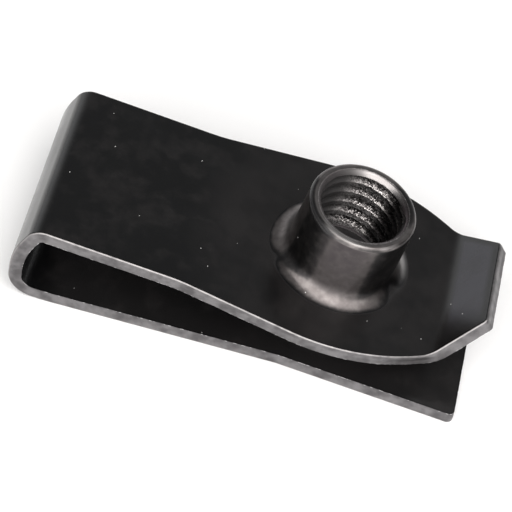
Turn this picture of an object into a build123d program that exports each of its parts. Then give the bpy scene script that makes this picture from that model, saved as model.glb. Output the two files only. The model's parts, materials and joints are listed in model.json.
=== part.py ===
from build123d import *
import os
from math import cos, radians, sin, tan

# Sheet-metal U clip nut for an M8 x 1.25 screw, in millimetres.
# It lies on its lower leg. The fold is at -X, the lead-in lip at +X, and the barrel stands up.
# The origin is where the screw's passage meets the underside of the lower leg.

# ---- strip ----
sheet = 1.06  # thickness of the spring steel
full_width = 19.0  # widest part of the blank
waist_width = 16.3  # narrowed part that springs
edge_roll = 0.15  # rounding that the punch leaves on the outer edges
corner_radius = 0.5  # plan rounding of the blank's four corners

# ---- fold, followed from the lower leg round to the upper; radii are at mid-thickness ----
heel_radius, heel_angle = 18.0, 6.0  # slow lift of the lower leg
toe_radius, toe_angle = 1.72, 83.4  # tight bend at the bottom of the web
web_foot = 0.8  # straight below the web's bow
web_radius, web_angle = 7.2, 26.0  # bow of the web
web_head = 0.82  # straight above the web's bow
crown_radius = 1.0  # tight bend at the top of the web
leg_slope = 6.4  # how far the upper leg leans towards the lower one, in degrees

# ---- lower leg ----
passage_place = 21.3  # from the heel to the screw's passage
passage = 9.0  # diameter of the passage
passage_roll = 0.15  # rounding of its edge inside the U
lower_end = 12.2  # from the passage to the open end
lower_flare = 14.9  # length over which the leg widens to the open end

# ---- upper leg and lip, along the strip from the crown ----
upper_length = 31.25  # flat stretch, from the crown to the lip's bend
widening_angle = 7.3  # of each side, out of the waist
neck_radius = 14.0  # blend from the waist into the widening
shoulder_place = 22.6  # where the leg is widest
shoulder_radius = 17.5
taper_angle = 27.9  # of each side, from the shoulder to the lip's end
lip_radius, lip_angle = 2.16, 46.0
lip_length = 3.82  # flat stretch beyond the bend

# ---- barrel, drawn out of the upper leg over the passage, and square to the leg ----
barrel_height = 6.5  # above the upper leg
barrel_rim = 8.9  # outer diameter at the rim
barrel_draft = 1.2  # lean of the wall in towards the rim, in degrees
root_fillet = 1.45
rim_roll = 0.42  # outer rounding of the rim
bore = 6.8  # diameter at the thread's crests
mouth_chamfer = 0.28
entry_radius = 0.9  # rolled entry under the leg


def section(station):
    """Cross-section of the waist: the outer corners are rolled, the inner ones sharp."""
    strip = Rectangle(waist_width, sheet)
    return station * fillet(strip.vertices().group_by(Axis.Y)[-1], edge_roll)


def turned(station, radius, angle):
    """The station after a bend; a positive angle turns towards the inside of the U."""
    inside = -radius if angle > 0 else radius
    pivot = station.location * Location((0, inside, 0))
    return Plane(pivot * Rotation(angle, 0, 0) * Location((0, -inside, 0)))


def bend(station, radius, angle):
    """A bend of the waist towards the inside, and the station where it ends."""
    pivot = station.location * Location((0, -radius, 0))
    piece = revolve(section(station), Axis(pivot.position, station.x_dir), angle)
    return piece, turned(station, radius, angle)


def run(station, length):
    """A straight stretch of the waist, and the station where it ends."""
    return extrude(section(station), length), station.offset(length)


def fold():
    """The bends and straights that join the legs, and the station of the upper leg."""
    station = Plane((-passage_place, 0, sheet / 2), x_dir=(0, 1, 0), z_dir=(-1, 0, 0))
    crown_angle = 180 + leg_slope - heel_angle - toe_angle - web_angle
    heel, station = bend(station, heel_radius, heel_angle)
    toe, station = bend(station, toe_radius, toe_angle)
    foot, station = run(station, web_foot)
    web, station = bend(station, web_radius, web_angle)
    head, station = run(station, web_head)
    crown, station = bend(station, crown_radius, crown_angle)
    return heel + toe + foot + web + head + crown, station


def leg_plane(station):
    """Mid-plane of a flat stretch: X along the strip, Y across it, Z out of the U."""
    return Plane(station.origin, x_dir=station.z_dir, z_dir=station.y_dir)


def blank(side):
    """Developed outline on the XY plane, drawn by one long side from X = 0 and its mirror image."""
    first, last = side @ 0, side @ 1
    ends = Line(last, (last.X, -last.Y)) + Line((first.X, -first.Y), first)
    return make_face(side + mirror(side, Plane.XZ) + ends)


def flat(outline, start, length, free_end=False):
    """Flat stretch of a blank, cut out of it between two places and moved to X = 0.

    Its Z side is the outer one, whose edges are rolled. A free end has rounded corners.
    """
    window = Pos(start + length / 2, 0) * Rectangle(length, 2 * full_width)
    piece = extrude(Pos(-start, 0) * (outline & window), sheet / 2, both=True)
    if free_end:
        corners = piece.edges().filter_by(Axis.Z).group_by(Axis.X)[-1]
        piece = fillet(corners, corner_radius)
    outer = piece.faces().sort_by(Axis.Z)[-1].edges()
    joints = [0] if free_end else [0, length]
    rolled = [e for e in outer if not any(is_across(e, place) for place in joints)]
    return fillet(rolled, edge_roll)


def is_across(edge, place):
    """True of a straight edge that runs across the strip at X = place."""
    return all(abs(v.X - place) < 1e-6 for v in edge.vertices())


def lower_leg():
    """Flat leg with the passage, widening to the open end."""
    length = passage_place + lower_end
    waist, wide = waist_width / 2, full_width / 2
    side = Polyline((0, waist), (length - lower_flare, waist), (length, wide))
    under = Plane((-passage_place, 0, sheet / 2), x_dir=(1, 0, 0), z_dir=(0, 0, -1))
    leg = under * flat(blank(side), 0, length, free_end=True) - Cylinder(passage / 2, 4 * sheet)
    rims = [e for e in leg.edges().filter_by(GeomType.CIRCLE) if abs(e.radius - passage / 2) < 1e-6]
    return fillet(ShapeList(rims).sort_by(Axis.Z)[-1], passage_roll)


def upper_blank(length):
    """Upper leg and lip laid flat: waist, widening, shoulder and taper."""
    rise, fall = radians(widening_angle), radians(taper_angle)
    wide, waist = full_width / 2, waist_width / 2
    start = (shoulder_place - shoulder_radius * sin(rise), wide - shoulder_radius * (1 - cos(rise)))
    end = (shoulder_place + shoulder_radius * sin(fall), wide - shoulder_radius * (1 - cos(fall)))
    neck = (start[0] - (start[1] - waist) / tan(rise), waist)
    entry = FilletPolyline((0, waist), neck, start, radius=neck_radius)
    shoulder = ThreePointArc(start, (shoulder_place, wide), end)
    taper = Line(end, (length, end[1] - (length - end[0]) * tan(fall)))
    return blank(entry + shoulder + taper)


def swept_bend(first, last, station, angle):
    """The lip's bend, swept from one cut face to the other so that it tapers between them."""
    path = ThreePointArc(
        station.origin,
        turned(station, lip_radius, -angle / 2).origin,
        turned(station, lip_radius, -angle).origin,
    )
    return sweep(sections=[first, last], path=path, multisection=True)


def upper_leg(station):
    """Flat upper leg, the lip's bend and the lip."""
    lip_start = upper_length + radians(lip_angle) * lip_radius
    outline = upper_blank(lip_start + lip_length)
    leg = leg_plane(station) * flat(outline, 0, upper_length)
    start = station.offset(upper_length)
    end = turned(start, lip_radius, -lip_angle)
    tip = leg_plane(end) * flat(outline, lip_start, lip_length, free_end=True)
    last_face = leg.faces().sort_by(Axis(start.origin, start.z_dir))[-1]
    first_face = tip.faces().sort_by(Axis(end.origin, end.z_dir))[0]
    return leg + swept_bend(last_face, first_face, start, lip_angle) + tip


def barrel_body():
    """The drawn barrel before it is pierced, on the Z axis, with the leg's top at Z = 0."""
    rim = barrel_rim / 2
    foot = rim + barrel_height * tan(radians(barrel_draft))
    reach = foot + 2 * root_fillet
    wall = Polyline(
        (0, -sheet / 2), (reach, -sheet / 2), (reach, 0), (foot, 0), (rim, barrel_height),
        (0, barrel_height), close=True,
    )
    profile = make_face(wall)
    root = profile.vertices().sort_by_distance((foot, 0))[0]
    profile = fillet(root, root_fillet)
    edge = profile.vertices().sort_by_distance((rim, barrel_height))[0]
    return revolve(Plane.XZ * fillet(edge, rim_roll), Axis.Z)


def barrel_void():
    """What the barrel's bore takes away: rolled entry, bore and chamfered mouth."""
    wall, mouth = bore / 2, bore / 2 + mouth_chamfer
    entry = wall + entry_radius
    above, below = barrel_height + sheet, -2 * sheet
    roll = RadiusArc((entry, -sheet), (wall, -sheet + entry_radius), entry_radius)
    rest = Polyline(
        (wall, -sheet + entry_radius), (wall, barrel_height - mouth_chamfer),
        (mouth, barrel_height), (mouth, above), (0, above), (0, below), (entry, below), (entry, -sheet),
    )
    return revolve(Plane.XZ * make_face(roll + rest), Axis.Z)


def clip_nut():
    """The whole nut: the folded strip with the barrel drawn over the passage."""
    bends, crown = fold()
    strip = lower_leg() + bends + upper_leg(crown)
    over_passage = -crown.origin.X / crown.z_dir.X
    foot = leg_plane(crown.offset(over_passage)).offset(sheet / 2)
    return strip + foot * barrel_body() - foot * barrel_void()


os.makedirs("parts", exist_ok=True)
nut = clip_nut()
nut.label = "u_clip_nut"
nut.color = Color(0.05, 0.05, 0.055)
export_step(nut, "parts/u_clip_nut.step")
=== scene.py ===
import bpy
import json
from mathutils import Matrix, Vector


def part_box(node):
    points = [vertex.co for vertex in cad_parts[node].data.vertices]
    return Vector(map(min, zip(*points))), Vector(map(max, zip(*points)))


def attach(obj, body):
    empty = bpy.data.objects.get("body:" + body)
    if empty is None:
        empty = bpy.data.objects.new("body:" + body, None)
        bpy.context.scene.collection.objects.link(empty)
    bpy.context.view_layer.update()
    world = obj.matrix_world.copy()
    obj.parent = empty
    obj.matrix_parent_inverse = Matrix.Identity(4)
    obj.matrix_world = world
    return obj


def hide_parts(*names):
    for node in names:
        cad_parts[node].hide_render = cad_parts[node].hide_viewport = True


bl_info = {
    "name": "U clip speed nut",
    "version": (1, 0, 0),
    "blender": (4, 5, 0),
    "location": "3D View > Sidebar > Clip nut",
    "description": "Builds a folded sheet-metal clip nut with a drawn, threaded barrel",
    "category": "Add Mesh",
}

import json
from math import atan, ceil, cos, pi, radians, sin, sqrt, tan

import bmesh
import bpy
import numpy as np
from bpy.props import FloatProperty, FloatVectorProperty, IntProperty, PointerProperty
from mathutils import Matrix, Vector, noise

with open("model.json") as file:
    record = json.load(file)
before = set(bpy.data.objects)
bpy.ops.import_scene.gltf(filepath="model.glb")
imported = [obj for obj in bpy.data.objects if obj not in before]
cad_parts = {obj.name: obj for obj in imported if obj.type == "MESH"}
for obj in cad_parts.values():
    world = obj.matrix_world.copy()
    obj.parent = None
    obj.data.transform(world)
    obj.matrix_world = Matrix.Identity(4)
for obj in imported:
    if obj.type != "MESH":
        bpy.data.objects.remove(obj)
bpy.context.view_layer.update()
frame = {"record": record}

NODE = "u_clip_nut"
BODY = "root"
MM = 0.001
NODE_LOW, NODE_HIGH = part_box(NODE)
MOUNTS = {mount["name"]: mount for mount in frame["record"]["mounts"]}
PASSAGE = MOUNTS["screw_passage"]
THREAD = MOUNTS["screw_thread"]

# Stretches of the strip, in order from the lower leg's open end.
LOWER_LEG, HEEL, TOE, WEB_FOOT, WEB, WEB_HEAD, CROWN, UPPER_LEG, LIP_BEND, LIP = range(10)
# Kinds of face, in the order of the body's materials.
SKIN, CUT, BORE = 0, 1, 2
# What each point of the body is marked with, for the materials: how far it is on a cut edge, how much
# painted shadow lies in the thread (under its crests, and as painted shade on the bore's side towards the
# lip), how bare the drawn metal is (set by turn round the barrel as painted highlight and painted shade), how
# far it is rubbed dull, how far it is polished bright and lit with painted highlight, how far it is blued or
# filmed with a dull tone, and its way round the blank in metres. Inside the bore, drawn stands for smooth
# metal without thread, rubbed for its bottom and the painted shade of the mouth beyond its highlight arc, and
# film for painted shade on the bore's side towards the fold.
MARKS = ("edge", "soot", "drawn", "rubbed", "polished", "blued", "film", "walk")
# Edge marks of a cut edge: the start of its rounding, its sheared band, the least of its torn band, its burr.
ROLLED, SHEARED, TORN, BURR = 0.35, 1.0, 1.15, 1.8
# Edge mark of an edge that kept its black finish.
BLACKENED = 0.3
# Radiance of the surroundings low down and overhead, and the share of white that the floor gives off.
SWEEP, CEILING = 0.95, 0.195
FLOOR_GLOW = 0.15
# The place near the nut's middle that the camera and the lamps stand round.
AIM = Vector((-7.4 * MM, 0, 3 * MM))
# Name, bearing and elevation in degrees, distance, size, radiance and tint.
LAMPS = (
    ("key", -99.0, 38.0, 0.60, (0.85, 0.82), 2.6, (1.0, 0.98, 0.96)),
    ("fill", -38.0, 46.0, 0.60, (0.45, 0.60), 1.7, (1.0, 0.98, 0.97)),
    ("top", -20.0, 73.0, 0.60, (0.34, 0.34), 1.6, (1.0, 0.98, 0.97)),
)


# ---------------------------------------------------------------- properties


def length(label, millimetres, description):
    """A length property whose default is given in millimetres."""
    return FloatProperty(
        name=label, description=description, default=millimetres * MM, min=0.0,
        precision=5, subtype="DISTANCE", unit="LENGTH",
    )


def angle(label, value, description):
    """An angle property whose default is given in degrees."""
    return FloatProperty(
        name=label, description=description, default=radians(value), subtype="ANGLE", unit="ROTATION",
    )


def colour(label, value, description):
    """A colour property."""
    return FloatVectorProperty(
        name=label, description=description, default=value, min=0.0, max=1.0, size=3, subtype="COLOR",
    )


class StripSizes(bpy.types.PropertyGroup):
    """Sizes of the folded strip; bend radii are at mid-thickness."""

    sheet: length("Sheet", 1.06, "Thickness of the spring steel")
    full_width: length("Full width", (NODE_HIGH.y - NODE_LOW.y) / MM, "Widest part, as wide as the frame")
    waist_width: length("Waist width", 16.3, "Narrowed part of the blank that springs")
    edge_roll: length("Edge roll", 0.15, "Rounding that the punch leaves on the outer edges")
    corner_radius: length("Corner radius", 0.5, "Plan rounding of the blank's four corners")
    lower_end: length("Lower end", 12.2, "From the passage to the open end of the lower leg")
    lower_flare: length("Lower flare", 14.9, "Length over which the lower leg widens to its open end")
    heel_place: length("Heel place", 21.3, "From the passage to the start of the fold")
    heel_radius: length("Heel radius", 18.0, "Slow lift of the lower leg")
    heel_angle: angle("Heel angle", 6.0, "Turn of the heel")
    toe_radius: length("Toe radius", 1.72, "Tight bend at the bottom of the web")
    toe_angle: angle("Toe angle", 83.4, "Turn of the toe")
    web_foot: length("Web foot", 0.8, "Straight stretch below the web's bow")
    web_radius: length("Web radius", 7.2, "Bow of the web")
    web_angle: angle("Web angle", 26.0, "Turn of the web")
    web_head: length("Web head", 0.82, "Straight stretch above the web's bow")
    crown_radius: length("Crown radius", 1.0, "Tight bend at the top of the web")
    leg_slope: angle("Leg slope", 6.4, "How far the upper leg leans towards the lower one")
    upper_length: length("Upper length", 31.25, "Flat stretch from the crown to the lip's bend")
    widening_angle: angle("Widening angle", 7.3, "Angle at which each side leaves the waist")
    neck_radius: length("Neck radius", 14.0, "Blend from the waist into the widening")
    shoulder_place: length("Shoulder place", 22.6, "From the crown to where the upper leg is widest")
    shoulder_radius: length("Shoulder radius", 17.5, "Rounding of the blank at its widest")
    taper_angle: angle("Taper angle", 27.9, "Angle at which each side runs in to the lip's end")
    lip_radius: length("Lip radius", 2.16, "Bend of the lead-in lip")
    lip_angle: angle("Lip angle", 46.0, "Turn of the lead-in lip")
    lip_length: length("Lip length", 3.82, "Flat stretch of the lip beyond its bend")
    fracture: length("Fracture", 0.035, "How far the torn lower part of a cut edge stands back")
    burr: length("Burr", 0.03, "Height of the burr on the inner edges")


class BarrelSizes(bpy.types.PropertyGroup):
    """Sizes of the drawn barrel and of the passage under it."""

    height: length("Height", 6.5, "Height of the barrel above the upper leg")
    rim_radius: length("Rim radius", 4.45, "Outer radius at the rim")
    draft: angle("Draft", 1.2, "Lean of the wall in towards the rim")
    root_fillet: length("Root fillet", 1.45, "Fillet between the leg and the barrel")
    rim_roll: length("Rim roll", 0.42, "Outer rounding of the rim")
    mouth_chamfer: length("Mouth chamfer", 0.38, "Chamfer where the screw comes out")
    entry_radius: length("Entry radius", 0.9, "Rolled entry under the leg")
    passage_roll: length("Passage roll", 0.15, "Rounding of the passage's edge inside the U")


class ThreadSizes(bpy.types.PropertyGroup):
    """Sizes of the right-hand thread; its crest radius is the mount's."""

    pitch: length("Pitch", 1.25, "Rise of one turn")
    depth: length("Depth", 0.6, "From the crests to the roots")
    crest: length("Crest", 0.42, "Flat width of a crest")
    root: length("Root", 0.17, "Flat width of a root")
    first_crest: length("First crest", 0.79, "From the rim to the first crest's lower edge, towards the lip")
    run_out: length("Run-out", 0.4, "Stretch over which the groove fades at its two ends")
    last: length("Last thread", 0.75, "From the bottom of the bore up to the end of the groove")


class FinishColours(bpy.types.PropertyGroup):
    """Colours of the finishes."""

    skin: colour("Skin", (0.0026, 0.0026, 0.0028), "Oiled black finish")
    smudge: colour("Smudge", (0.0125, 0.0113, 0.0113), "Dull smudges on the black finish")
    cut: colour("Cut edge", (0.24, 0.232, 0.236), "Blanked edge")
    rolled: colour("Rolled edge", (0.325, 0.312, 0.309), "Edge polished by the punch")
    glint: colour("Burr", (0.85, 0.84, 0.84), "Bright tips of the burr")
    cut_dark: colour("Cut edge, dark", (0.12, 0.115, 0.118), "Darker patches of the blanked edge")
    blued: colour("Blued", (0.026, 0.025, 0.032), "Bluish finish of the lip")
    # Burnished and thinned steel: which of them shows round the barrel is set by turn, as painted highlight
    # and painted shade.
    burnished: colour("Burnished", (0.205, 0.188, 0.183), "Steel that the drawing tool burnished bright")
    # Rim colour: the painted highlights of the rim's arcs and of the fillet's glint, on lightly polished
    # metal.
    rim: colour("Rim", (0.52, 0.50, 0.49), "Edge of the rim, polished bright")
    thinned: colour("Thinned", (0.041, 0.040, 0.041), "Finish that the drawing tool only thinned")
    scuffed: colour("Scuffed", (0.125, 0.112, 0.110), "Duller blotches of the burnished steel")
    rubbed: colour("Rubbed", (0.052, 0.044, 0.047), "Dull brownish patch at the front of the barrel")
    crest: colour("Thread crest", (0.46, 0.437, 0.428), "Bright grains of the thread's crests")
    pitted: colour("Thread pits", (0.10, 0.092, 0.092), "Dark grains between them")
    # Thread soot: painted shadow under each crest, and painted shade on the bore's side towards the lip.
    soot: colour("Thread soot", (0.022, 0.020, 0.020), "Oil and soot in the thread")
    # Thread film: on the thread, painted shade on the bore's side towards the fold; on the sheet's inner
    # face, a paler dull tone.
    film: colour("Thread film", (0.033, 0.031, 0.031), "Dull film of dry oil on the thread, towards the fold")
    # Mouth: painted highlight on the mouth's far arc. Entry: the bore's bottom, and painted shade on the rest
    # of the mouth.
    mouth: colour("Mouth", (0.33, 0.312, 0.308), "Turned chamfer at the bore's mouth")
    entry: colour("Entry", (0.145, 0.122, 0.127), "Bottom of the bore, below the thread")
    dust: colour("Dust", (0.72, 0.71, 0.70), "Dust")
    floor: colour("Floor", (0.86, 0.86, 0.86), "Floor and backdrop")


class CameraPlace(bpy.types.PropertyGroup):
    """Where the camera stands, round a point near the middle of the part."""

    bearing: angle("Bearing", 0.0644, "Turn round the part, from the near long side")
    elevation: angle("Elevation", 49.1143, "Height above the horizon")
    roll: angle("Roll", 15.0527, "Turn of the camera about its line of sight")
    distance: length("Distance", 190.47, "From the aim point to the camera")
    shift_right: length("Aim to the right", 0.8777, "How far the view's middle lies right of the aim point")
    shift_down: length("Aim below", 0.3923, "How far the view's middle lies below the aim point")
    lens: FloatProperty(
        name="Lens", description="Focal length", default=163.25, min=1.0,
        subtype="DISTANCE_CAMERA", unit="CAMERA",
    )


class ClipNutSettings(bpy.types.PropertyGroup):
    """All that a user would change."""

    strip: PointerProperty(type=StripSizes)
    barrel: PointerProperty(type=BarrelSizes)
    thread: PointerProperty(type=ThreadSizes)
    colours: PointerProperty(type=FinishColours)
    camera: PointerProperty(type=CameraPlace)
    round_steps: IntProperty(
        name="Steps round the barrel", description="Faces round the barrel, a multiple of four",
        default=160, min=32, max=320, step=4,
    )


# ---------------------------------------------------------------- the folded strip


class Strip:
    """The blank laid flat, and the centre line that it is folded along.

    A place on the strip is given by along, from the lower leg's open end, across, from the
    middle, and lift, from mid-thickness towards the outside of the U.
    """

    def __init__(self, sizes):
        self.sizes = sizes
        self.half_sheet = sizes.sheet / 2
        lower = sizes.lower_end + sizes.heel_place
        turns = [
            (lower, 0.0),
            (sizes.heel_radius * sizes.heel_angle, sizes.heel_angle),
            (sizes.toe_radius * sizes.toe_angle, sizes.toe_angle),
            (sizes.web_foot, 0.0),
            (sizes.web_radius * sizes.web_angle, sizes.web_angle),
            (sizes.web_head, 0.0),
        ]
        crown = pi + sizes.leg_slope - sum(turn for _, turn in turns)
        turns += [
            (sizes.crown_radius * crown, crown),
            (sizes.upper_length, 0.0),
            (sizes.lip_radius * sizes.lip_angle, -sizes.lip_angle),
            (sizes.lip_length, 0.0),
        ]
        self.turns = turns
        self.starts = np.concatenate([[0.0], np.cumsum([reach for reach, _ in turns])])
        self.upper_start = self.starts[UPPER_LEG]
        self.total = self.starts[-1]
        self.stations = self._stations()

    def _stations(self):
        """Position and heading at the start of each stretch."""
        passage = PASSAGE["pos_m"]
        x, z = passage[0] + self.sizes.lower_end, passage[2] + self.half_sheet
        heading = pi
        stations = []
        for reach, turn in self.turns:
            stations.append((x, z, heading))
            x, z, heading = along_arc(x, z, heading, -turn / reach, reach)
        return np.array(stations)

    def place(self, along, across, lift):
        """Points in the frame, as rows of x, y, z."""
        along, across, lift = np.broadcast_arrays(along, across, lift)
        piece = np.clip(np.searchsorted(self.starts, along, side="right") - 1, LOWER_LEG, LIP)
        start = self.stations[piece]
        rate = np.array([-turn / reach for reach, turn in self.turns])[piece]
        x, z, heading = (start[..., column] for column in range(3))
        x, z, heading = along_arc(x, z, heading, rate, along - self.starts[piece])
        return np.stack([x - lift * np.sin(heading), across, z + lift * np.cos(heading)], -1)

    def half_width(self, along):
        """Half the blank's width, without the rounding of its corners."""
        s = self.sizes
        along = np.asarray(along, float)
        full, waist = s.full_width / 2, s.waist_width / 2
        lower = np.where(along < s.lower_flare, full - (full - waist) * along / s.lower_flare, waist)
        place = along - self.upper_start
        rise, fall = s.widening_angle, s.taper_angle
        rise_end = s.shoulder_place - s.shoulder_radius * sin(rise)
        fall_start = s.shoulder_place + s.shoulder_radius * sin(fall)
        neck = rise_end - (full - s.shoulder_radius * (1 - cos(rise)) - waist) / tan(rise)
        neck_start = neck - s.neck_radius * tan(rise / 2)
        neck_end = neck_start + s.neck_radius * sin(rise)
        curved = waist + s.neck_radius - arc_height(s.neck_radius, place - neck_start)
        rising = waist + (place - neck) * tan(rise)
        crested = full - s.shoulder_radius + arc_height(s.shoulder_radius, place - s.shoulder_place)
        falling = full - s.shoulder_radius * (1 - cos(fall)) - (place - fall_start) * tan(fall)
        upper = np.select(
            [place < neck_start, place < neck_end, place < rise_end, place < fall_start],
            [np.full_like(place, waist), curved, rising, crested], falling,
        )
        return np.where(along < self.upper_start - self.sizes.web_head, lower, upper)

    def slope(self, along):
        """How fast the half width grows along the strip."""
        step = 0.001 * MM
        return (self.half_width(along + step) - self.half_width(along - step)) / (2 * step)


def arc_height(radius, aside):
    """Height of a circle's arc above its centre, at a distance aside of it."""
    return np.sqrt(np.clip(radius**2 - aside**2, 0, None))


def along_arc(x, z, heading, rate, reach):
    """Position and heading after a stretch whose heading changes at a steady rate."""
    bent = np.abs(rate) > 1e-9
    safe = np.where(bent, rate, 1.0)
    after = heading + rate * reach
    dx = np.where(bent, (np.sin(after) - np.sin(heading)) / safe, reach * np.cos(heading))
    dz = np.where(bent, (np.cos(heading) - np.cos(after)) / safe, reach * np.sin(heading))
    return x + dx, z + dz, after


class Outline:
    """One long side of the blank as rows, with both rounded corners, at any distance inside it."""

    corner_steps = 8

    def __init__(self, strip, rows):
        self.strip = strip
        self.radius = strip.sizes.corner_radius
        self.rows = rows
        self.low = self._corner(0.0, 1)
        self.high = self._corner(strip.total, -1)

    def _corner(self, end, way):
        """Centre of a corner's rounding and the turns of its rows, from the end to the side."""
        strip, radius = self.strip, self.radius
        probe = end + way * radius
        tilt = atan(float(strip.slope(probe))) * way
        middle = float(strip.half_width(probe)) - radius / cos(tilt)
        turns = np.linspace(pi / 2, tilt, self.corner_steps + 1)
        return probe, middle, turns

    def side(self, inset):
        """Along and across of every row on the +Y side, at a distance inside the outline.

        The distance is one for all rows, or one for each.
        """
        strip, rows = self.strip, self.rows
        low, count = self.low[2].size, self.low[2].size + rows.size + self.high[2].size
        inset = np.broadcast_to(inset, count)
        middle = slice(low, low + rows.size)
        across = strip.half_width(rows) - inset[middle] * np.sqrt(1 + strip.slope(rows) ** 2)
        at_low = self._round(self.low, 1, inset[:low])
        at_high = self._round(self.high, -1, inset[low + rows.size :][::-1])
        along = np.concatenate([at_low[0], rows, at_high[0][::-1]])
        return along, np.concatenate([at_low[1], across, at_high[1][::-1]])

    def _round(self, corner, way, inset):
        """Along and across of a rounded corner's rows."""
        centre, middle, turns = corner
        reach = self.radius - inset
        return centre - way * reach * np.sin(turns), middle + reach * np.cos(turns)

    def ring(self, inset, low_columns, high_columns):
        """Along and across all round the blank, at a distance inside it for each point.

        It runs up the +Y side, across the far end, back down the other side and across the first end.
        """
        rows = self.low[2].size + self.rows.size + self.high[2].size
        inset = np.broadcast_to(inset, 2 * rows + low_columns.size + high_columns.size)
        turn = rows + high_columns.size
        up, up_across = self.side(inset[:rows])
        down, down_across = self.side(inset[turn : turn + rows][::-1])
        along = np.concatenate([up, self.strip.total - inset[rows:turn], down[::-1], inset[turn + rows :]])
        return along, np.concatenate([up_across, high_columns[::-1], -down_across[::-1], low_columns])


class Shell:
    """Collects rings and sheets of points, and the faces between them."""

    def __init__(self):
        self.points, self.marks, self.faces, self.kinds = [], [], [], []
        self.count = 0

    def add(self, points, **marks):
        """Adds points with their marks and returns their numbers, in the same shape."""
        shape = points.shape[:-1]
        self.points.append(points.reshape(-1, 3))
        columns = [np.broadcast_to(marks.get(mark, 0.0), shape) for mark in MARKS]
        self.marks.append(np.stack(columns, -1).reshape(-1, len(MARKS)))
        numbers = np.arange(self.count, self.count + int(np.prod(shape))).reshape(shape)
        self.count += numbers.size
        return numbers

    def quads(self, a, b, c, d, kind):
        """Adds a face for each set of four corners."""
        faces = np.stack([a, b, c, d], -1).reshape(-1, 4)
        self.faces.append(faces)
        self.kinds.append(np.full(len(faces), kind))

    def sheet(self, grid, keep, kind):
        """Faces of a grid, where keep is true."""
        corners = (grid[:-1, :-1], grid[1:, :-1], grid[1:, 1:], grid[:-1, 1:])
        self.quads(*(corner[keep] for corner in corners), kind)

    def bridge(self, first, second, kind):
        """Faces between two closed rings of the same count."""
        self.quads(first, np.roll(first, -1), np.roll(second, -1), second, kind)

    def mesh(self, name):
        """The mesh of all that was added, with its faces turned outwards."""
        mesh = bpy.data.meshes.new(name)
        mesh.from_pydata(np.concatenate(self.points).tolist(), [], np.concatenate(self.faces).tolist())
        mesh.polygons.foreach_set("material_index", np.concatenate(self.kinds).astype(np.int32))
        marks = np.concatenate(self.marks)
        for column, mark in enumerate(MARKS):
            layer = mesh.attributes.new(mark, "FLOAT", "POINT")
            layer.data.foreach_set("value", marks[:, column].astype(np.float32))
        work = bmesh.new()
        work.from_mesh(mesh)
        loose = [vertex for vertex in work.verts if not vertex.link_faces]
        bmesh.ops.delete(work, geom=loose, context="VERTS")
        bmesh.ops.recalc_face_normals(work, faces=work.faces)
        work.to_mesh(mesh)
        work.free()
        mesh.validate()
        return mesh


def spaced(start, stop, step):
    """Even places from start up to, but without, stop."""
    count = max(1, ceil((stop - start) / step - 1e-9))
    return np.linspace(start, stop, count, endpoint=False)


def fan(steps):
    """Tangents of even angles from -45 to 45 degrees."""
    return np.tan(np.linspace(-pi / 4, pi / 4, steps + 1))


def wander(places, size, seed):
    """Smooth noise from -1 to 1 along a list of places, with features of a given size."""
    return np.array([noise.noise(Vector((place / size, seed, 0.5))) for place in places])


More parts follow.
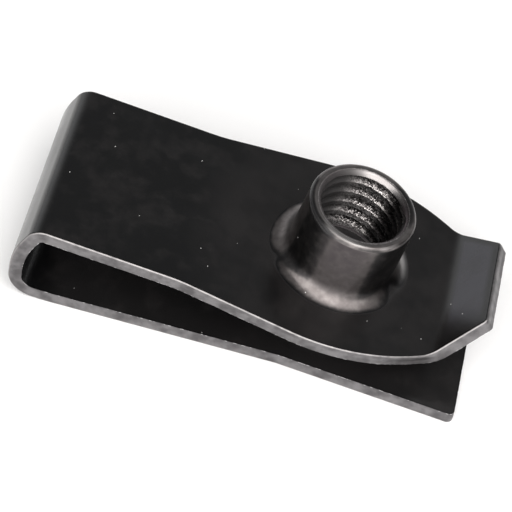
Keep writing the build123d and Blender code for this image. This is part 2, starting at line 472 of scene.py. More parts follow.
class ClipBody:
    """The whole nut as one closed mesh: folded strip, passage, barrel and thread."""

    row_step = 0.4 * MM
    margin_steps = 4
    # Half the width of the square of faces that makes way for a round hub.
    patch = 7.3 * MM
    # Width of the narrow faces that keep a shading border crisp.
    crisp = 0.06 * MM
    # The mouth's painted highlight arc: its middle as a turn, and how far from it the arc starts and ends to
    # fade; beyond it the mouth gets painted shade.
    mouth_highlight_arc = (80, 35, 62)

    def __init__(self, settings):
        self.strip = Strip(settings.strip)
        self.barrel = settings.barrel
        self.thread = settings.thread
        self.around = settings.round_steps
        self.shell = Shell()
        self.hub = {"passage": settings.strip.lower_end, "barrel": self._barrel_place()}

    def _barrel_place(self):
        """Where the thread's axis crosses mid-thickness of the upper leg."""
        strip = self.strip
        x, z, heading = strip.stations[UPPER_LEG]
        ahead = Vector((cos(heading), 0, sin(heading)))
        outward = Vector((-sin(heading), 0, cos(heading)))
        start, point, axis = Vector((x, 0, z)), Vector(THREAD["pos_m"]), Vector(THREAD["axis"])
        crossing = point + axis * ((start - point).dot(outward) / axis.dot(outward))
        return strip.upper_start + (crossing - start).dot(ahead)

    # -- rows and columns of the flat blank

    def _rows(self):
        """Places of the rows along the blank, between its rounded corners."""
        strip, step, crisp, patch = self.strip, self.row_step, self.crisp, self.patch
        starts, corner = strip.starts, strip.sizes.corner_radius
        heel, upper_leg, lip_bend, lip = (starts[part] for part in (HEEL, UPPER_LEG, LIP_BEND, LIP))
        lower, upper = self.hub["passage"], self.hub["barrel"]
        square = patch * fan(self.around // 4)
        counts = {HEEL: 6, TOE: 22, WEB_FOOT: 3, WEB: 12, WEB_HEAD: 3}
        crown_count, lip_count = 22, 16
        fold = [np.linspace(starts[part], starts[part + 1], n, endpoint=False) for part, n in counts.items()]
        parts = [
            spaced(2 * corner, lower - patch, step),
            lower + square,
            spaced(lower + patch, heel - crisp, step)[1:],
            [heel - crisp],
            *fold,
            np.linspace(starts[CROWN], upper_leg, crown_count + 1),
            [upper_leg + crisp],
            spaced(upper_leg + crisp, upper - patch, step)[1:],
            upper + square,
            spaced(upper + patch, lip_bend - crisp, step)[1:],
            [lip_bend - crisp],
            np.linspace(lip_bend, lip, lip_count + 1),
            [lip + crisp],
            spaced(lip + crisp, strip.total - corner, step)[1:],
            [strip.total - corner],
        ]
        return np.concatenate(parts)

    def _columns(self, edge, widest):
        """Places across one row, from one side to the other, that keep a square round each hub."""
        reach = self.patch * min(1.0, edge / widest)
        inner = reach * fan(self.around // 4)
        margin = np.linspace(reach, edge, self.margin_steps + 1)[1:]
        return np.concatenate([-margin[::-1], inner, margin])

    def build(self):
        """Builds everything and returns the mesh."""
        strip, shell = self.strip, self.shell
        half = strip.half_sheet
        outline = Outline(strip, self._rows())
        inset = strip.sizes.edge_roll + self.crisp
        along, edge = outline.side(inset)
        far = self.hub["barrel"] + self.patch
        widest = float(np.interp(far, along, edge))
        across = np.stack([self._columns(value, widest) for value in edge])
        along_grid = np.repeat(along[:, None], across.shape[1], 1)
        outer = shell.add(strip.place(along_grid, across, half), blued=self._blued(along_grid, across, edge))
        inner = shell.add(strip.place(along_grid, across, -half), film=self._paler_inside(along_grid))
        keep = np.ones((len(along) - 1, across.shape[1] - 1), bool)
        squares = {name: self._square(along, across, place) for name, place in self.hub.items()}
        for rows, columns in squares.values():
            keep[rows[0] : rows[1], columns[0] : columns[1]] = False
        shell.sheet(outer, keep, SKIN)
        shell.sheet(inner, keep, SKIN)
        self._edges(outline, across, outer, inner)
        self._passage(*(square_ring(grid, *squares["passage"]) for grid in (outer, inner)))
        self._barrel(*(square_ring(grid, *squares["barrel"]) for grid in (outer, inner)))
        return shell.mesh("clip_body")

    def _blued(self, along, across, edge):
        """How far the outer face is blued: on the flat of the lip, short of its edges and near corner."""
        strip, most = self.strip, 0.94
        soft, end_gap, side_gap = 0.5 * MM, 0.45 * MM, 0.1 * MM
        corner, corner_soft = 5.0 * MM, 3.2 * MM
        past_bend = smooth_step((along - strip.starts[LIP]) / soft + 0.1)
        before_end = smooth_step((strip.total - end_gap - along) / soft)
        inside = smooth_step((edge[:, None] - side_gap - np.abs(across)) / soft)
        past_corner = smooth_step((across + corner) / corner_soft)
        return most * past_bend * before_end * inside * past_corner

    def _paler_inside(self, along):
        """How far the inner face is made paler with the film colour: on the lower leg, fading out towards the
        fold.
        """
        most, fade = 0.22, 3 * MM
        return most * smooth_step((self.strip.starts[TOE] - along) / fade)

    def _square(self, along, across, place):
        """First and last row and column of the square round a hub."""
        first = int(np.argmin(np.abs(along - (place - self.patch))))
        last = int(np.argmin(np.abs(along - (place + self.patch))))
        columns = (self.margin_steps, across.shape[1] - 1 - self.margin_steps)
        return (first, last), columns

    # -- blanked edges

    def _edge_profile(self):
        """Inset, lift and edge mark from the outer face round the cut to the inner face."""
        sizes, half = self.strip.sizes, self.strip.half_sheet
        roll, back, burr = sizes.edge_roll, sizes.fracture, sizes.burr
        burnish, torn = 0.02 * MM, 1.4
        profile = [(roll, half, 0.0)]
        for turn, mark in zip(np.linspace(0, pi / 2, 6)[1:], np.linspace(ROLLED, SHEARED, 6)[1:]):
            profile.append((roll * (1 - sin(turn)), half - roll * (1 - cos(turn)), mark))
        profile += [
            (0.0, half * 0.45, SHEARED),
            (0.0, burnish, SHEARED),
            (0.012 * MM, -burnish, 1.2),
            (0.6 * back, -half * 0.3, torn),
            (back, -half * 0.65, torn),
            (back, -half + 0.04 * MM, 1.3),
            (back + 0.01 * MM, -half - burr, BURR),
            (back + 0.045 * MM, -half - 0.3 * burr, BURR),
            (back + 0.09 * MM, -half, 0.0),
        ]
        return profile

    def _edges(self, outline, across, outer, inner):
        """Rolled, sheared and torn edge all round the blank."""
        strip, shell = self.strip, self.shell
        half = strip.half_sheet
        ends = (across[0, 1:-1], across[-1, 1:-1])
        previous, last = perimeter(outer), perimeter(inner)
        walk = np.arange(previous.size) * self.row_step
        rough = wander(walk, 0.5 * MM, 3.0) + 0.6 * wander(walk, 1.3 * MM, 9.0)
        teeth = wander(walk, 0.9 * MM, 21.0)
        tear_depth, tooth_share = 0.012 * MM, 0.8
        for inset, lift, mark in self._edge_profile():
            torn = tear_depth * rough if mark > TORN else 0.0
            raised = tooth_share * teeth * min(0.0, lift + half)
            along, side = outline.ring(inset + torn, *ends)
            current = shell.add(strip.place(along, side, lift + raised), edge=mark, walk=walk)
            shell.bridge(previous, current, CUT if mark > 0 else SKIN)
            previous = current
        shell.bridge(previous, last, SKIN)

    # -- passage and barrel

    def _round_points(self, hub, radius, lift):
        """A ring of points about a hub, starting at the square's first corner."""
        turns = self._turns()
        place = self.hub[hub]
        return self.strip.place(place + radius * np.cos(turns), radius * np.sin(turns), lift)

    def _turns(self):
        """Turn of each point of a ring, from the square's first corner; 0 is along the strip."""
        return -3 * pi / 4 + np.arange(self.around) * 2 * pi / self.around

    def _blend_rings(self, hub, start, radius, lift, steps, film=0.0, **marks):
        """Rings that lead from the square round a hub to a circle, and the last of them.

        The film is the same all over. The other marks are those at the circle, by turn, and fade round it.
        """
        turns, fade = self._turns(), 0.9 * MM
        square = self.patch / np.maximum(np.abs(np.cos(turns)), np.abs(np.sin(turns)))
        previous = start
        for share in np.linspace(0, 1, steps + 1)[1:]:
            reach = mixed(square, radius, share)
            points = self._round_points(hub, reach, lift)
            near = smooth_step((self.patch - reach) / fade)
            faded = {name: mark * near for name, mark in marks.items()}
            current = self.shell.add(points, film=film, **faded)
            self.shell.bridge(previous, current, SKIN)
            previous = current
        return previous

    def _lathe(self, hub, start, profile, kind):
        """Rings along a profile of radius, lift and marks, and the last of them."""
        previous = start
        for radius, lift, marks in profile:
            current = self.shell.add(self._round_points(hub, radius, lift), **marks)
            self.shell.bridge(previous, current, kind)
            previous = current
        return previous

    def _passage(self, outer, inner):
        """The clear hole of the lower leg, with its edge rounded inside the U."""
        half, roll, crisp = self.strip.half_sheet, self.barrel.passage_roll, self.crisp
        hole = PASSAGE["dims"]["r_mm"] * MM
        outside = self._blend_rings("passage", outer, hole + crisp, half, 5)
        profile = [(hole + crisp / 3, half, {"edge": BLACKENED})]
        profile += [(hole, lift, {"edge": SHEARED}) for lift in (half - crisp / 3, 0.0, roll - half)]
        for turn, mark in zip(np.linspace(0, pi / 2, 6)[1:], np.linspace(SHEARED, ROLLED, 6)[1:]):
            profile.append((hole + roll * (1 - cos(turn)), roll * (1 - sin(turn)) - half, {"edge": mark}))
        last = self._lathe("passage", outside, profile, CUT)
        far_side = smooth_step(3 * np.sin(self._turns()) - 1)
        film = self._paler_inside(self.hub["passage"])
        marks = {"drawn": far_side, "rubbed": 0.7 * far_side}
        inside = self._blend_rings("passage", inner, hole + roll + crisp, -half, 9, film, **marks)
        self.shell.bridge(inside, last, SKIN)

    def _barrel(self, outer, inner):
        """The drawn barrel with its root fillet, rolled rim, threaded bore and rolled entry."""
        barrel, half, crisp = self.barrel, self.strip.half_sheet, self.crisp
        fillet, roll, lean = barrel.root_fillet, barrel.rim_roll, barrel.draft
        foot = barrel.rim_radius + barrel.height * tan(lean)
        inner_turn = (pi / 2 - lean) / 2
        root = foot + fillet * tan(inner_turn)
        foot_ring = self._blend_rings("barrel", outer, root + 0.1 * MM, half, 4)
        # Burnish, rubbed patch, painted highlights and painted shade of the barrel's outside, by turn.
        wear_and_light = BarrelWearAndLight(self._turns(), half + fillet)
        fillet_rows, wall_rows, roll_rows, last_wall_row = 13, 8, 9, 0.95
        profile = [(root + crisp / 3, half, {})]
        for share in np.linspace(0, 1, fillet_rows):
            turn = share * (pi / 2 - lean)
            lift = half + fillet * (1 - cos(turn))
            profile.append((root - fillet * sin(turn), lift, wear_and_light.wall(share, lift)))
        roll_middle = barrel.rim_radius - roll * tan(inner_turn)
        top = half + barrel.height
        low = np.array(profile[-1][:2])
        high = np.array((roll_middle + roll * cos(lean), top - roll + roll * sin(lean)))
        for share in (*np.linspace(0, 1, wall_rows)[1:-1], last_wall_row):
            radius, lift = mixed(low, high, share)
            profile.append((radius, lift, wear_and_light.wall(1.0, lift)))
        for turn in np.linspace(lean, pi / 2, roll_rows)[:-1]:
            share = sin(turn)
            profile.append((roll_middle + roll * cos(turn), top - roll + roll * share, wear_and_light.roll(share)))
        bore = THREAD["dims"]["r_mm"] * MM
        mouth = bore + barrel.mouth_chamfer + 0.05 * MM
        for radius, share in ((roll_middle, 0.8), (roll_middle - crisp, 0.8), (mouth, 0.3)):
            profile.append((radius, top, wear_and_light.land(share)))
        rim = self._lathe("barrel", foot_ring, profile, SKIN)
        last = self._bore(rim, top, bore)
        inside = self._blend_rings("barrel", inner, bore + barrel.entry_radius + 0.08 * MM, -half, 4)
        self.shell.bridge(inside, last, SKIN)

    def _bore(self, rim, top, bore):
        """Threaded bore from the mouth's chamfer down to the rolled entry; returns its last ring."""
        barrel, thread, half = self.barrel, self.thread, self.strip.half_sheet
        chamfer, entry, run_out = barrel.mouth_chamfer, barrel.entry_radius, thread.run_out
        bottom, thread_end = -half, thread.last - half
        turns = self._turns()
        # Painted shade round the mouth beyond its highlight arc.
        mouth_shade_side = beyond(turns, *self.mouth_highlight_arc)
        first, step, count = 0.012 * MM, 0.04 * MM, 148
        levels = [top - first, *np.linspace(top - step, bottom + step, count), bottom + first, bottom]
        previous = rim
        for level in levels:
            depth = top - level
            fade = smooth_step(depth / run_out) * smooth_step((level - thread_end) / run_out)
            threaded = bore + self._groove(turns, depth) * fade
            # The mouth is half a flat chamfer and half a rounding.
            flat = max(0.0, chamfer - depth)
            mouth = bore + 0.5 * (flat + chamfer - sqrt(chamfer**2 - flat**2))
            sunk = max(0.0, bottom + entry - level)
            rolled = bore + entry - sqrt(max(0.0, entry**2 - sunk**2))
            radius = np.maximum(threaded, max(mouth, rolled))
            smooth = np.maximum(np.where(radius > threaded + 1e-7, 1.0, 0.0), float(level < thread_end))
            # The bore's bottom below the thread, and the mouth's painted shade, take the entry colour.
            darker = np.maximum(float(level < half), mouth_shade_side)
            # Painted shade on the bore's two sides: dark towards the lip, dull towards the fold.
            lip_side_shade, film = self._bore_side_shade(turns, depth)
            # Painted shadow under each crest, with the painted shade of the lip's side laid over it.
            soot = np.maximum(self._soot(turns, depth) * (1 - smooth), lip_side_shade * (1 - 0.5 * smooth))
            points = self._round_points("barrel", radius, level)
            current = self.shell.add(points, soot=soot, film=film, drawn=smooth, rubbed=darker)
            self.shell.bridge(previous, current, BORE)
            previous = current
        return previous

    def _below_crest(self, turns, depth):
        """How far each turn lies below the lower edge of the crest above it, at a depth below the rim."""
        thread = self.thread
        # The crest's lower edge rises towards +Y from the lip's side, as a right-hand thread does.
        return (depth - thread.first_crest + thread.pitch * turns / (2 * pi)) % thread.pitch

    def _groove(self, turns, depth):
        """How deep the groove is at each turn, at a depth below the rim."""
        thread = self.thread
        flank = (thread.pitch - thread.crest - thread.root) / 2
        below = self._below_crest(turns, depth)
        ramp = np.minimum(below / flank, (thread.pitch - thread.crest - below) / flank)
        return thread.depth * smooth_corner(np.clip(ramp, 0, 1))

    def _soot(self, turns, depth):
        """How much painted shadow lies at each turn: on the flank under a crest and in the root below it."""
        thread = self.thread
        flank = (thread.pitch - thread.crest - thread.root) / 2
        below = self._below_crest(turns, depth)
        started = smooth_step(below / (0.3 * flank))
        return started * smooth_step((flank + thread.root - below) / (0.5 * flank) + 1)

    def _bore_side_shade(self, turns, depth):
        """How much painted shade darkens the bore towards the lip, and how much painted shade in the dull
        film colour covers it towards the fold.
        """
        share = depth / (self.barrel.height + 2 * self.strip.half_sheet)
        oil_end, film_start = radians(mixed(48, 70, share)), radians(mixed(104, 117, share))
        oil_fade, film_fade, near_fade = radians(24), radians(36), radians(60)
        near = smooth_step((turns + pi / 2) / near_fade + 0.5)
        lip_side_shade = smooth_step((oil_end - turns) / oil_fade + 0.5) * near
        film = np.maximum(smooth_step((turns - film_start) / film_fade + 0.5), 1 - near)
        return lip_side_shade, film


class BarrelWearAndLight:
    """Marks of the barrel's outside at each turn: burnished and rubbed metal, with painted highlights and
    painted shade set by turn; 0 is towards the lip and -90 the near long side.
    """

    # Each region's middle as a turn, and how far from it the region starts and ends to fade, in degrees. The
    # dark foot and dark wall regions, the rim's shaded part and the rounding's shaded left are painted shade;
    # the lit wall front, the foot glint and the inner, outer and land arcs are painted highlight; the fold
    # and near sides widen the fillet's painted highlight.
    FOLD_SIDE, NEAR_SIDE = (180, 25, 60), (-95, 40, 70)
    DARK_FOOT_LEFT, DARK_FOOT_RIGHT, FOOT_GLINT = (-154, 0, 22), (-22, 0, 30), (24, 6, 36)
    WALL_FRONT, DARK_WALL = (-90, 10, 30), (-86, 66, 86)
    RUBBED, OILED, FOULED = (-93, 7, 39), (-158, 30, 54), (24, 18, 44)
    INNER_ARC, OUTER_ARC, LAND_ARC = (-102, 16, 34), (-50, 4, 15), (-112, 12, 34)
    # Least share of bare metal at the foot, on the wall and on the shaded part of the rim, held back there as
    # painted shade.
    LEAST_FOOT, LEAST_WALL, LEAST_RIM = 0.12, 0.16, 0.13
    # Height over which the rubbed patch grows to its full strength.
    RISE = 3 * MM

    def __init__(self, turns, wall_foot):
        self.turns, self.wall_foot = turns, wall_foot
        # Painted highlight widening: the fillet's bare metal reaches further out on the fold and near sides.
        self.spread = 1 + 1.2 * self.within(self.FOLD_SIDE) + 0.4 * self.within(self.NEAR_SIDE)
        lit_foot = (1 - self.within(self.DARK_FOOT_RIGHT)) * (1 - self.within(self.DARK_FOOT_LEFT))
        lit_wall = np.maximum(self.within(self.WALL_FRONT), 1 - self.within(self.DARK_WALL))
        self.foot_lit_bare = mixed(self.LEAST_FOOT, 1, lit_foot)
        self.wall_lit_bare = mixed(self.LEAST_WALL, 1, lit_wall)
        self.rim_unshaded = mixed(1, self.LEAST_RIM, self.within(self.FOULED))

    def within(self, region):
        """1 inside a region and 0 beyond it."""
        return 1 - beyond(self.turns, *region)

    def wall(self, share, lift):
        """Marks of the fillet, whose share runs from 0 at its foot to 1 at the wall, and of the wall: bare
        metal by turn as painted highlight and painted shade, and the rubbed patch.
        """
        most_glint, low_rubbed = 0.6, 0.55
        drawn = np.minimum(1.0, share * self.spread)
        bare = mixed(self.foot_lit_bare, self.wall_lit_bare, smooth_step(2 * drawn - 1))
        high = smooth_step((lift - self.wall_foot) / self.RISE)
        rubbed = self.within(self.RUBBED) * smooth_step(4 * drawn - 3) * mixed(low_rubbed, 1, high)
        # A painted glint half way up the fillet, towards the lip.
        glint = most_glint * self.within(self.FOOT_GLINT) * 4 * drawn * (1 - drawn)
        return {"drawn": drawn * bare, "rubbed": rubbed, "polished": glint}

    def roll(self, share):
        """Marks of the rim's rounding, whose share runs from 0 at the wall to 1 on top, with painted
        highlight arcs and painted shade.
        """
        top, shoulder, wall_end = 0.8, 0.45, 0.3
        most_inner, most_outer, most_dip, most_left_shade = 0.8, 0.5, 0.78, 0.8
        inner, outer = most_inner * self.within(self.INNER_ARC), most_outer * self.within(self.OUTER_ARC)
        under = mixed(self.wall_lit_bare, 1, smooth_step(2.2 * share - 0.4))
        # The dip, the shade on the left and the rim's shade hold back bare metal as painted shade.
        dip = most_dip * smooth_step(share / shoulder) * smooth_step((1 - share) / (1 - top))
        clean = mixed(1, self.rim_unshaded, smooth_step((share - top) / 0.12))
        bare = clean * (1 - dip * (1 - outer)) * (1 - most_left_shade * self.within(self.OILED))
        # Painted highlight arcs: one on top of the rounding at the front, one on its shoulder towards the
        # lip.
        polished = inner * smooth_step((share - top) / 0.15)
        polished += outer * smooth_step((share - shoulder) / 0.3) * smooth_step((1 - share) / 0.06)
        rubbed = self.within(self.RUBBED) * (share < wall_end)
        return {"drawn": under * bare, "rubbed": rubbed, "polished": polished}

    def land(self, share):
        """Marks of the flat rim: polished bright and lit with painted highlight by a share, strongest along
        its near arc, with bare metal held back as painted shade on the rim's shaded part.
        """
        least, most = 0.1, 0.36
        polished = share * self.rim_unshaded * mixed(0.25, 1, self.within(self.LAND_ARC))
        return {"drawn": np.maximum(least, most * self.rim_unshaded), "polished": polished}


def mixed(first, second, share):
    """A value between two, by a share."""
    return first + share * (second - first)


def beyond(turns, middle, near, far):
    """0 at the turns within one angle of a middle, 1 at those beyond another; all but turns in degrees."""
    away = np.degrees(np.abs(np.angle(np.exp(1j * (turns - radians(middle))))))
    return smooth_step((away - near) / (far - near))


def smooth_step(value):
    """0 below 0, 1 above 1 and smooth between."""
    value = np.clip(value, 0, 1)
    return value * value * (3 - 2 * value)


def smooth_corner(value):
    """Keeps 0 and 1 and softens the two corners of a straight ramp."""
    return 0.5 * value + 0.5 * smooth_step(value)


def perimeter(grid):
    """Points round the whole grid: up the last column, across, down the first column and back."""
    return np.concatenate([grid[:, -1], grid[-1, -2:0:-1], grid[::-1, 0], grid[0, 1:-1]])


def square_ring(grid, rows, columns):
    """Points of a grid round a square, in order from its first corner up the first column."""
    (first, last), (left, right) = rows, columns
    return np.concatenate([
        grid[first:last, left],
        grid[last, left:right],
        grid[last:first:-1, right],
        grid[first, right:left:-1],
    ])


# ---------------------------------------------------------------- finishes


class Nodes:
    """A node tree under construction, with short ways to add and join its nodes."""

    def __init__(self, owner):
        owner.use_nodes = True
        self.tree = owner.node_tree
        self.tree.nodes.clear()

    def node(self, kind, **settings):
        """A new node with its own settings."""
        node = self.tree.nodes.new(kind)
        for name, value in settings.items():
            setattr(node, name, value)
        return node

    def join(self, source, target):
        """Links an output to an input, or sets the input to a plain value."""
        if isinstance(source, bpy.types.NodeSocket):
            self.tree.links.new(source, target)
        else:
            target.default_value = source

    def math(self, operation, first, second=0.0, third=0.0):
        """A sum, product or other operation on plain numbers."""
        node = self.node("ShaderNodeMath", operation=operation)
        for value, target in zip((first, second, third), node.inputs):
            self.join(value, target)
        return node.outputs["Value"]

    def times(self, first, second):
        """The product of two values."""
        return self.math("MULTIPLY", first, second)

    def rest(self, share):
        """What a share leaves of 1."""
        return self.math("SUBTRACT", 1.0, share)

    def raised(self, base, value, factor):
        """A base value with a factor times another value added."""
        return self.math("MULTIPLY_ADD", value, factor, base)

    def span(self, value, low, high, to_low=0.0, to_high=1.0):
        """Carries a value from one range to another, smoothly and within its ends."""
        node = self.node("ShaderNodeMapRange", interpolation_type="SMOOTHSTEP")
        for source, target in zip((value, low, high, to_low, to_high), node.inputs):
            self.join(source, target)
        return node.outputs["Result"]


class Finish(Nodes):
    """A material under construction."""

    def __init__(self, name):
        self.material = bpy.data.materials.new(name)
        super().__init__(self.material)
        self.shader = self.node("ShaderNodeBsdfPrincipled")
        output = self.node("ShaderNodeOutputMaterial")
        self.join(self.shader.outputs["BSDF"], output.inputs["Surface"])
        self.place = self.node("ShaderNodeTexCoord").outputs["Object"]

    def mark(self, name):
        """One of the body's marks."""
        return self.node("ShaderNodeAttribute", attribute_name=name).outputs["Fac"]

    def grain(self, size, detail=2.0, vector=None, distortion=0.0):
        """Noise from 0 to 1 with features of a given size in metres."""
        noise_node = self.node("ShaderNodeTexNoise")
        self.join(vector or self.place, noise_node.inputs["Vector"])
        noise_node.inputs["Scale"].default_value = 1 / size
        noise_node.inputs["Detail"].default_value = detail
        noise_node.inputs["Distortion"].default_value = distortion
        return noise_node.outputs["Fac"]

    def cells(self, size):
        """Grains of a given size: their random colours, and how far the surface is from each middle."""
        cells = self.node("ShaderNodeTexVoronoi")
        self.join(self.place, cells.inputs["Vector"])
        cells.inputs["Scale"].default_value = 1 / size
        return cells.outputs["Color"], cells.outputs["Distance"]

    def red(self, colour):
        """The red part of a colour."""
        shade = self.node("ShaderNodeSeparateColor")
        self.join(colour, shade.inputs["Color"])
        return shade.outputs["Red"]

    def flecks(self, size):
        """A value from 0 to 1 that is random for each grain of a given size."""
        return self.red(self.cells(size)[0])

    def vector(self, operation, first, second=(0.0, 0.0, 0.0)):
        """A sum, difference or other operation on vectors."""
        node = self.node("ShaderNodeVectorMath", operation=operation)
        self.join(first, node.inputs[0])
        self.join(second, node.inputs["Scale" if operation == "SCALE" else 1])
        return node.outputs["Value" if operation == "DISTANCE" else "Vector"]

    def tilted(self, size, tilt, below):
        """Normals that lean a little at random in each grain of a given size."""
        lean = self.vector("SUBTRACT", self.cells(size)[0], (0.5, 0.5, 0.5))
        total = self.vector("ADD", self.vector("SCALE", lean, tilt), below)
        return self.vector("NORMALIZE", total)

    def distance(self, point):
        """How far the surface is from a point, in metres."""
        return self.vector("DISTANCE", self.place, point)

    def specks(self, spread, radius):
        """1 inside small round specks that are scattered with a given spread, and 0 elsewhere."""
        empty_cells = 0.82
        colour, distance = self.cells(spread)
        near = self.math("LESS_THAN", distance, radius / spread)
        return self.times(near, self.math("GREATER_THAN", self.red(colour), empty_cells))

    def blend(self, share, first, second):
        """A colour between two, by a share."""
        node = self.node("ShaderNodeMix", data_type="RGBA")
        sockets = [socket for socket in node.inputs if socket.enabled]
        for source, target in zip((share, first, second), sockets):
            self.join(opaque(source), target)
        return next(socket for socket in node.outputs if socket.enabled)

    def bump(self, height, depth, strength=1.0, below=None):
        """Normals of a surface raised by a height of 0 to 1 times a depth in metres."""
        node = self.node("ShaderNodeBump")
        node.inputs["Strength"].default_value = strength
        node.inputs["Distance"].default_value = depth
        self.join(height, node.inputs["Height"])
        if below is not None:
            self.join(below, node.inputs["Normal"])
        return node.outputs["Normal"]

    def set(self, **values):
        """Sets or links inputs of the shader, named in lower case with underscores."""
        names = {socket.name.lower().replace(" ", "_"): socket for socket in self.shader.inputs}
        for name, value in values.items():
            self.join(opaque(value), names[name])


def opaque(value):
    """A three-number colour with full alpha; anything else as it is."""
    if isinstance(value, bpy.types.NodeSocket) or not hasattr(value, "__len__"):
        return value
    return (*value, 1.0)


def oiled_black(colours):
    """Oiled black finish of the sheet, blued on the lip, burnished and rubbed on the barrel, where painted
    highlights and painted shade are set by turn.
    """
    finish = Finish("oiled_black")
    times, raised, span, grain = finish.times, finish.raised, finish.span, finish.grain
    drawn, rubbed, polished, blued = (finish.mark(name) for name in ("drawn", "rubbed", "polished", "blued"))
    cloud = span(grain(5.5 * MM, 5.0, distortion=0.6), 0.42, 0.68)
    mottle = grain(0.9 * MM, 4.0)
    tooth = grain(0.11 * MM)
    # The sheet: stains all over, smudges round the barrel's foot, the blued lip and the paler film inside the
    # U.
    stain = span(grain(2.2 * MM, 7.0), 0.44, 0.64)
    handled = span(finish.distance(THREAD["pos_m"]), 14 * MM, 9 * MM)
    handled = times(handled, span(grain(2.6 * MM, 6.0), 0.30, 0.62, 0.35, 1.0))
    smudges = finish.math("MAXIMUM", times(stain, mottle), times(handled, 0.85))
    smudged = finish.blend(smudges, colours.skin, colours.smudge)
    tinted = times(blued, span(grain(1.8 * MM, 4.0), 0.25, 0.60, 0.7, 1.0))
    sheet = finish.blend(tinted, smudged, colours.blued)
    sheet = finish.blend(finish.mark("film"), sheet, colours.film)
    # The drawn metal: thinned finish, burnished and scuffed steel, painted highlight arcs in the rim colour,
    # and the rubbed patch; the share of bare steel round the barrel is painted highlight and painted shade.
    bare = span(drawn, 0.02, 0.10)
    dull = times(rubbed, span(grain(1.4 * MM, 4.0), 0.30, 0.58, 0.55, 1.0))
    blotch = span(grain(0.55 * MM, 3.0), 0.30, 0.70)
    steel = finish.blend(times(blotch, 0.8), colours.burnished, colours.scuffed)
    patchy = finish.math("MULTIPLY_ADD", grain(0.8 * MM, 4.0), 0.34, finish.math("SUBTRACT", drawn, 0.17))
    steel = finish.blend(span(patchy, 0.08, 0.40), colours.thinned, steel)
    steel = finish.blend(polished, steel, colours.rim)
    worn = finish.blend(times(blotch, 0.15), colours.rubbed, colours.scuffed)
    steel = finish.blend(dull, steel, worn)
    dust = finish.specks(0.9 * MM, 0.04 * MM)
    toned = finish.blend(dust, finish.blend(bare, sheet, steel), colours.dust)
    metal = raised(bare, times(bare, dull), -0.5)
    metal = times(metal, finish.rest(dust))
    rough = 0.15
    for part, share in ((cloud, 0.06), (mottle, 0.08), (bare, 0.13), (dull, 0.22), (dust, 0.5)):
        rough = raised(rough, part, share)
    coarse = finish.bump(mottle, 0.006 * MM)
    normal = finish.bump(tooth, 0.0025 * MM, below=coarse)
    finish.set(base_color=toned, metallic=metal, roughness=rough, ior=1.55, normal=normal)
    return finish.material


def blanked_edge(colours):
    """Bare cut edge: rolled bright line, sheared band with fine lines, torn band and bright burr."""
    finish = Finish("blanked_edge")
    times, raised, span, grain = finish.times, finish.raised, finish.span, finish.grain
    edge, walk = finish.mark("edge"), finish.mark("walk")
    across = finish.node("ShaderNodeCombineXYZ")
    finish.join(walk, across.inputs["X"])
    lines = grain(0.09 * MM, vector=across.outputs["Vector"])
    tears = grain(0.13 * MM, 3.0)
    patches = grain(1.1 * MM, 3.0)
    sheared = finish.blend(span(patches, 0.3, 0.7), colours.cut, colours.cut_dark)
    bright = span(edge, 0.98, 0.75)
    polish = times(bright, span(grain(0.5 * MM, 3.0), 0.30, 0.62, 0.28, 0.88))
    toned = finish.blend(polish, sheared, colours.rolled)
    tips = times(span(edge, 1.5, 1.75), span(grain(0.34 * MM, 3.0), 0.53, 0.60))
    toned = finish.blend(tips, toned, colours.glint)
    toned = finish.blend(span(edge, 0.65, ROLLED), toned, colours.skin)
    torn = span(edge, 1.05, 1.3)
    height = finish.blend(torn, lines, tears)
    rough = raised(0.28, torn, 0.12)
    rough = raised(rough, patches, 0.15)
    normal = finish.bump(height, 0.012 * MM, 0.8)
    finish.set(base_color=toned, metallic=1.0, roughness=rough, normal=normal)
    return finish.material


def cut_thread(colours):
    """Bare, torn steel of the thread's crests and upper flanks, with painted shadow under the crests, painted
    shade on the bore's two sides, and the mouth's painted highlight and shade.
    """
    finish = Finish("cut_thread")
    times, raised, rest = finish.times, finish.raised, finish.rest
    grain_size = 0.085 * MM
    soot, smooth, low, film = (finish.mark(name) for name in ("soot", "drawn", "rubbed", "film"))
    fleck = finish.flecks(grain_size)
    tears = finish.grain(0.22 * MM, 4.0, distortion=0.5)
    bright = finish.span(finish.math("MULTIPLY_ADD", tears, 0.4, times(fleck, 0.6)), 0.30, 0.72)
    crest = finish.blend(bright, colours.pitted, colours.crest)
    # The mouth colour is a painted highlight on its far arc; the entry colour colours the bottom and paints
    # the rest of the mouth into shade.
    turned = finish.blend(low, colours.mouth, colours.entry)
    # The film here is painted shade on the bore's side towards the fold, flattening its threads.
    covered = times(film, raised(1.0, smooth, -0.15))
    toned = finish.blend(covered, finish.blend(smooth, crest, turned), colours.film)
    # Painted shadow under the crests and painted shade towards the lip darken the thread.
    toned = finish.blend(soot, toned, colours.soot)
    rough = raised(0.36, fleck, -0.12)
    rough = raised(rough, covered, 0.25)
    torn = times(rest(smooth), rest(covered))
    normal = finish.bump(times(tears, torn), 0.035 * MM)
    clean = times(torn, raised(1.0, soot, -0.85))
    normal = finish.tilted(grain_size, times(clean, 0.55), normal)
    metal = raised(1.0, covered, -0.7)
    finish.set(base_color=toned, metallic=metal, roughness=rough, normal=normal)
    return finish.material


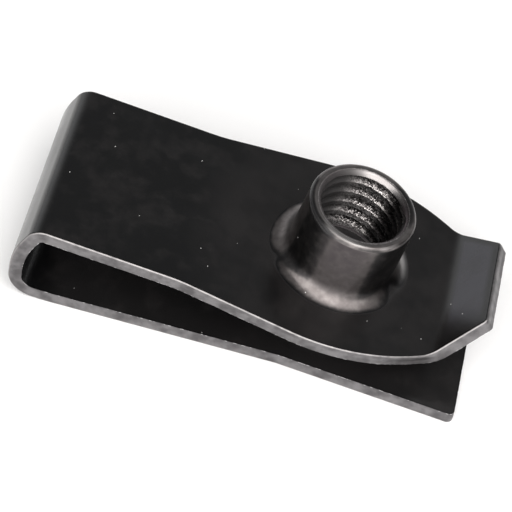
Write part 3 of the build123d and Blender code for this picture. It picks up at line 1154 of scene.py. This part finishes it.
def pale_floor(colours):
    """Plain floor that keeps the shadow and reads as white to the camera and in reflections."""
    finish = Finish("pale_floor")
    path = finish.node("ShaderNodeLightPath")
    seen = finish.math("MAXIMUM", path.outputs["Is Camera Ray"], path.outputs["Is Glossy Ray"])
    seen = finish.math("MAXIMUM", seen, path.outputs["Is Transmission Ray"])
    shade = finish.span(finish.grain(60 * MM, 1.0), 0.2, 0.8)
    tint = finish.blend(shade, colours.floor, [0.98 * value for value in colours.floor])
    finish.set(base_color=tint, roughness=0.9, specular_ior_level=0.0, emission_color=(1.0, 1.0, 1.0))
    finish.join(finish.times(seen, FLOOR_GLOW), finish.shader.inputs["Emission Strength"])
    return finish.material


# ---------------------------------------------------------------- operators


def settings_of(context):
    """The part's settings in the current scene."""
    return context.scene.clip_nut


def shown(mesh, name, materials):
    """A new object in the scene, with its materials and smooth faces."""
    piece = bpy.data.objects.new(name, mesh)
    bpy.context.scene.collection.objects.link(piece)
    for material in materials:
        mesh.materials.append(material)
    mesh.polygons.foreach_set("use_smooth", np.ones(len(mesh.polygons), bool))
    return piece


class CLIPNUT_OT_body(bpy.types.Operator):
    """Add the folded nut with its passage, barrel and thread, in place of the plain solid"""

    bl_idname = "clip_nut.body"
    bl_label = "Folded nut"

    def execute(self, context):
        settings = settings_of(context)
        mesh = ClipBody(settings).build()
        colours = settings.colours
        piece = shown(mesh, "clip_body", [oiled_black(colours), blanked_edge(colours), cut_thread(colours)])
        mesh.set_sharp_from_angle(angle=radians(38))
        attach(piece, BODY)
        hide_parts(NODE)
        return {"FINISHED"}


class CLIPNUT_OT_stage(bpy.types.Operator):
    """Add the pale floor, the soft lights, the surroundings and the camera"""

    bl_idname = "clip_nut.stage"
    bl_label = "Stage"

    def execute(self, context):
        settings = settings_of(context)
        self._floor(settings)
        self._surroundings(context)
        self._lights()
        self._camera(context, settings.camera)
        context.scene.view_settings.view_transform = "Standard"
        return {"FINISHED"}

    def _floor(self, settings):
        """A wide square that the nut lies on."""
        work = bmesh.new()
        bmesh.ops.create_grid(work, x_segments=8, y_segments=8, size=2.0)
        mesh = bpy.data.meshes.new("floor")
        work.to_mesh(mesh)
        work.free()
        floor = shown(mesh, "floor", [pale_floor(settings.colours)])
        floor.location.z = NODE_LOW.z - 0.02 * MM

    def _surroundings(self, context):
        """White low down behind the nut, as a sweep would be, dim above and to its left and right."""
        world = bpy.data.worlds.new("studio")
        nodes = Nodes(world)
        split = nodes.node("ShaderNodeSeparateXYZ")
        nodes.join(nodes.node("ShaderNodeTexCoord").outputs["Generated"], split.inputs[0])
        height, sideways = split.outputs["Z"], split.outputs["X"]
        sweep_top, ceiling_edge = sin(radians(10)), sin(radians(44))
        left_end, left_start, right_start, right_end = -0.93, -0.74, 0.58, 0.80
        strength = nodes.span(height, sweep_top, ceiling_edge, SWEEP, CEILING)
        left = nodes.span(sideways, left_end, left_start, CEILING, SWEEP)
        right = nodes.span(sideways, right_start, right_end, SWEEP, CEILING)
        for side in (left, right):
            strength = nodes.math("MINIMUM", strength, side)
        light = nodes.node("ShaderNodeBackground")
        output = nodes.node("ShaderNodeOutputWorld")
        nodes.join(strength, light.inputs["Strength"])
        nodes.join(light.outputs["Background"], output.inputs["Surface"])
        light.inputs["Color"].default_value = (0.98, 0.99, 1.0, 1.0)
        context.scene.world = world

    def _lights(self):
        """Large soft lamps in front of the nut, the main one a little to the left."""
        for name, bearing, elevation, distance, size, radiance, tint in LAMPS:
            lamp = bpy.data.lights.new(name, "AREA")
            lamp.shape = "RECTANGLE"
            lamp.size, lamp.size_y = size
            lamp.energy = radiance * pi * size[0] * size[1]
            lamp.color = tint
            holder = bpy.data.objects.new(name, lamp)
            bpy.context.scene.collection.objects.link(holder)
            away = from_bearing(radians(bearing), radians(elevation))
            holder.location = AIM + away * distance
            holder.rotation_euler = away.to_track_quat("Z", "Y").to_euler()

    def _camera(self, context, place):
        """The camera, turned a little about its line of sight."""
        lens = bpy.data.cameras.new("camera")
        lens.lens = place.lens
        lens.sensor_width = 36.0
        lens.clip_start, lens.clip_end = 0.005, 10.0
        camera = bpy.data.objects.new("camera", lens)
        context.scene.collection.objects.link(camera)
        back = from_bearing(place.bearing - pi / 2, place.elevation)
        level = Vector((cos(place.bearing), sin(place.bearing), 0))
        upright = back.cross(level)
        right = cos(place.roll) * level + sin(place.roll) * upright
        up = back.cross(right)
        eye = AIM + right * place.shift_right - up * place.shift_down + back * place.distance
        camera.matrix_world = Matrix.Translation(eye) @ Matrix((right, up, back)).transposed().to_4x4()
        context.scene.camera = camera


def from_bearing(bearing, elevation):
    """Unit vector at a bearing from +X towards +Y and an elevation above the floor."""
    return Vector((cos(elevation) * cos(bearing), cos(elevation) * sin(bearing), sin(elevation)))


class CLIPNUT_PT_panel(bpy.types.Panel):
    """Lists the pieces of the nut"""

    bl_idname = "CLIPNUT_PT_panel"
    bl_label = "Clip nut"
    bl_space_type = "VIEW_3D"
    bl_region_type = "UI"
    bl_category = "Clip nut"

    def draw(self, context):
        for operator in OPERATORS:
            self.layout.operator(operator.bl_idname)
        settings = settings_of(context)
        for group in (settings.strip, settings.barrel, settings.thread, settings.colours, settings.camera):
            box = self.layout.box()
            for name in group.__annotations__:
                box.prop(group, name)


GROUPS = (StripSizes, BarrelSizes, ThreadSizes, FinishColours, CameraPlace, ClipNutSettings)
OPERATORS = (CLIPNUT_OT_body, CLIPNUT_OT_stage)


def register():
    """Registers the groups, operators and panel."""
    for part in (*GROUPS, *OPERATORS, CLIPNUT_PT_panel):
        bpy.utils.register_class(part)
    bpy.types.Scene.clip_nut = PointerProperty(type=ClipNutSettings)


def unregister():
    """Removes what register added."""
    del bpy.types.Scene.clip_nut
    for part in reversed((*GROUPS, *OPERATORS, CLIPNUT_PT_panel)):
        bpy.utils.unregister_class(part)


def main():
    """Builds the nut and its stage."""
    register()
    for operator in OPERATORS:
        group, name = operator.bl_idname.split(".")
        getattr(getattr(bpy.ops, group), name)()


if __name__ == "__main__":
    main()
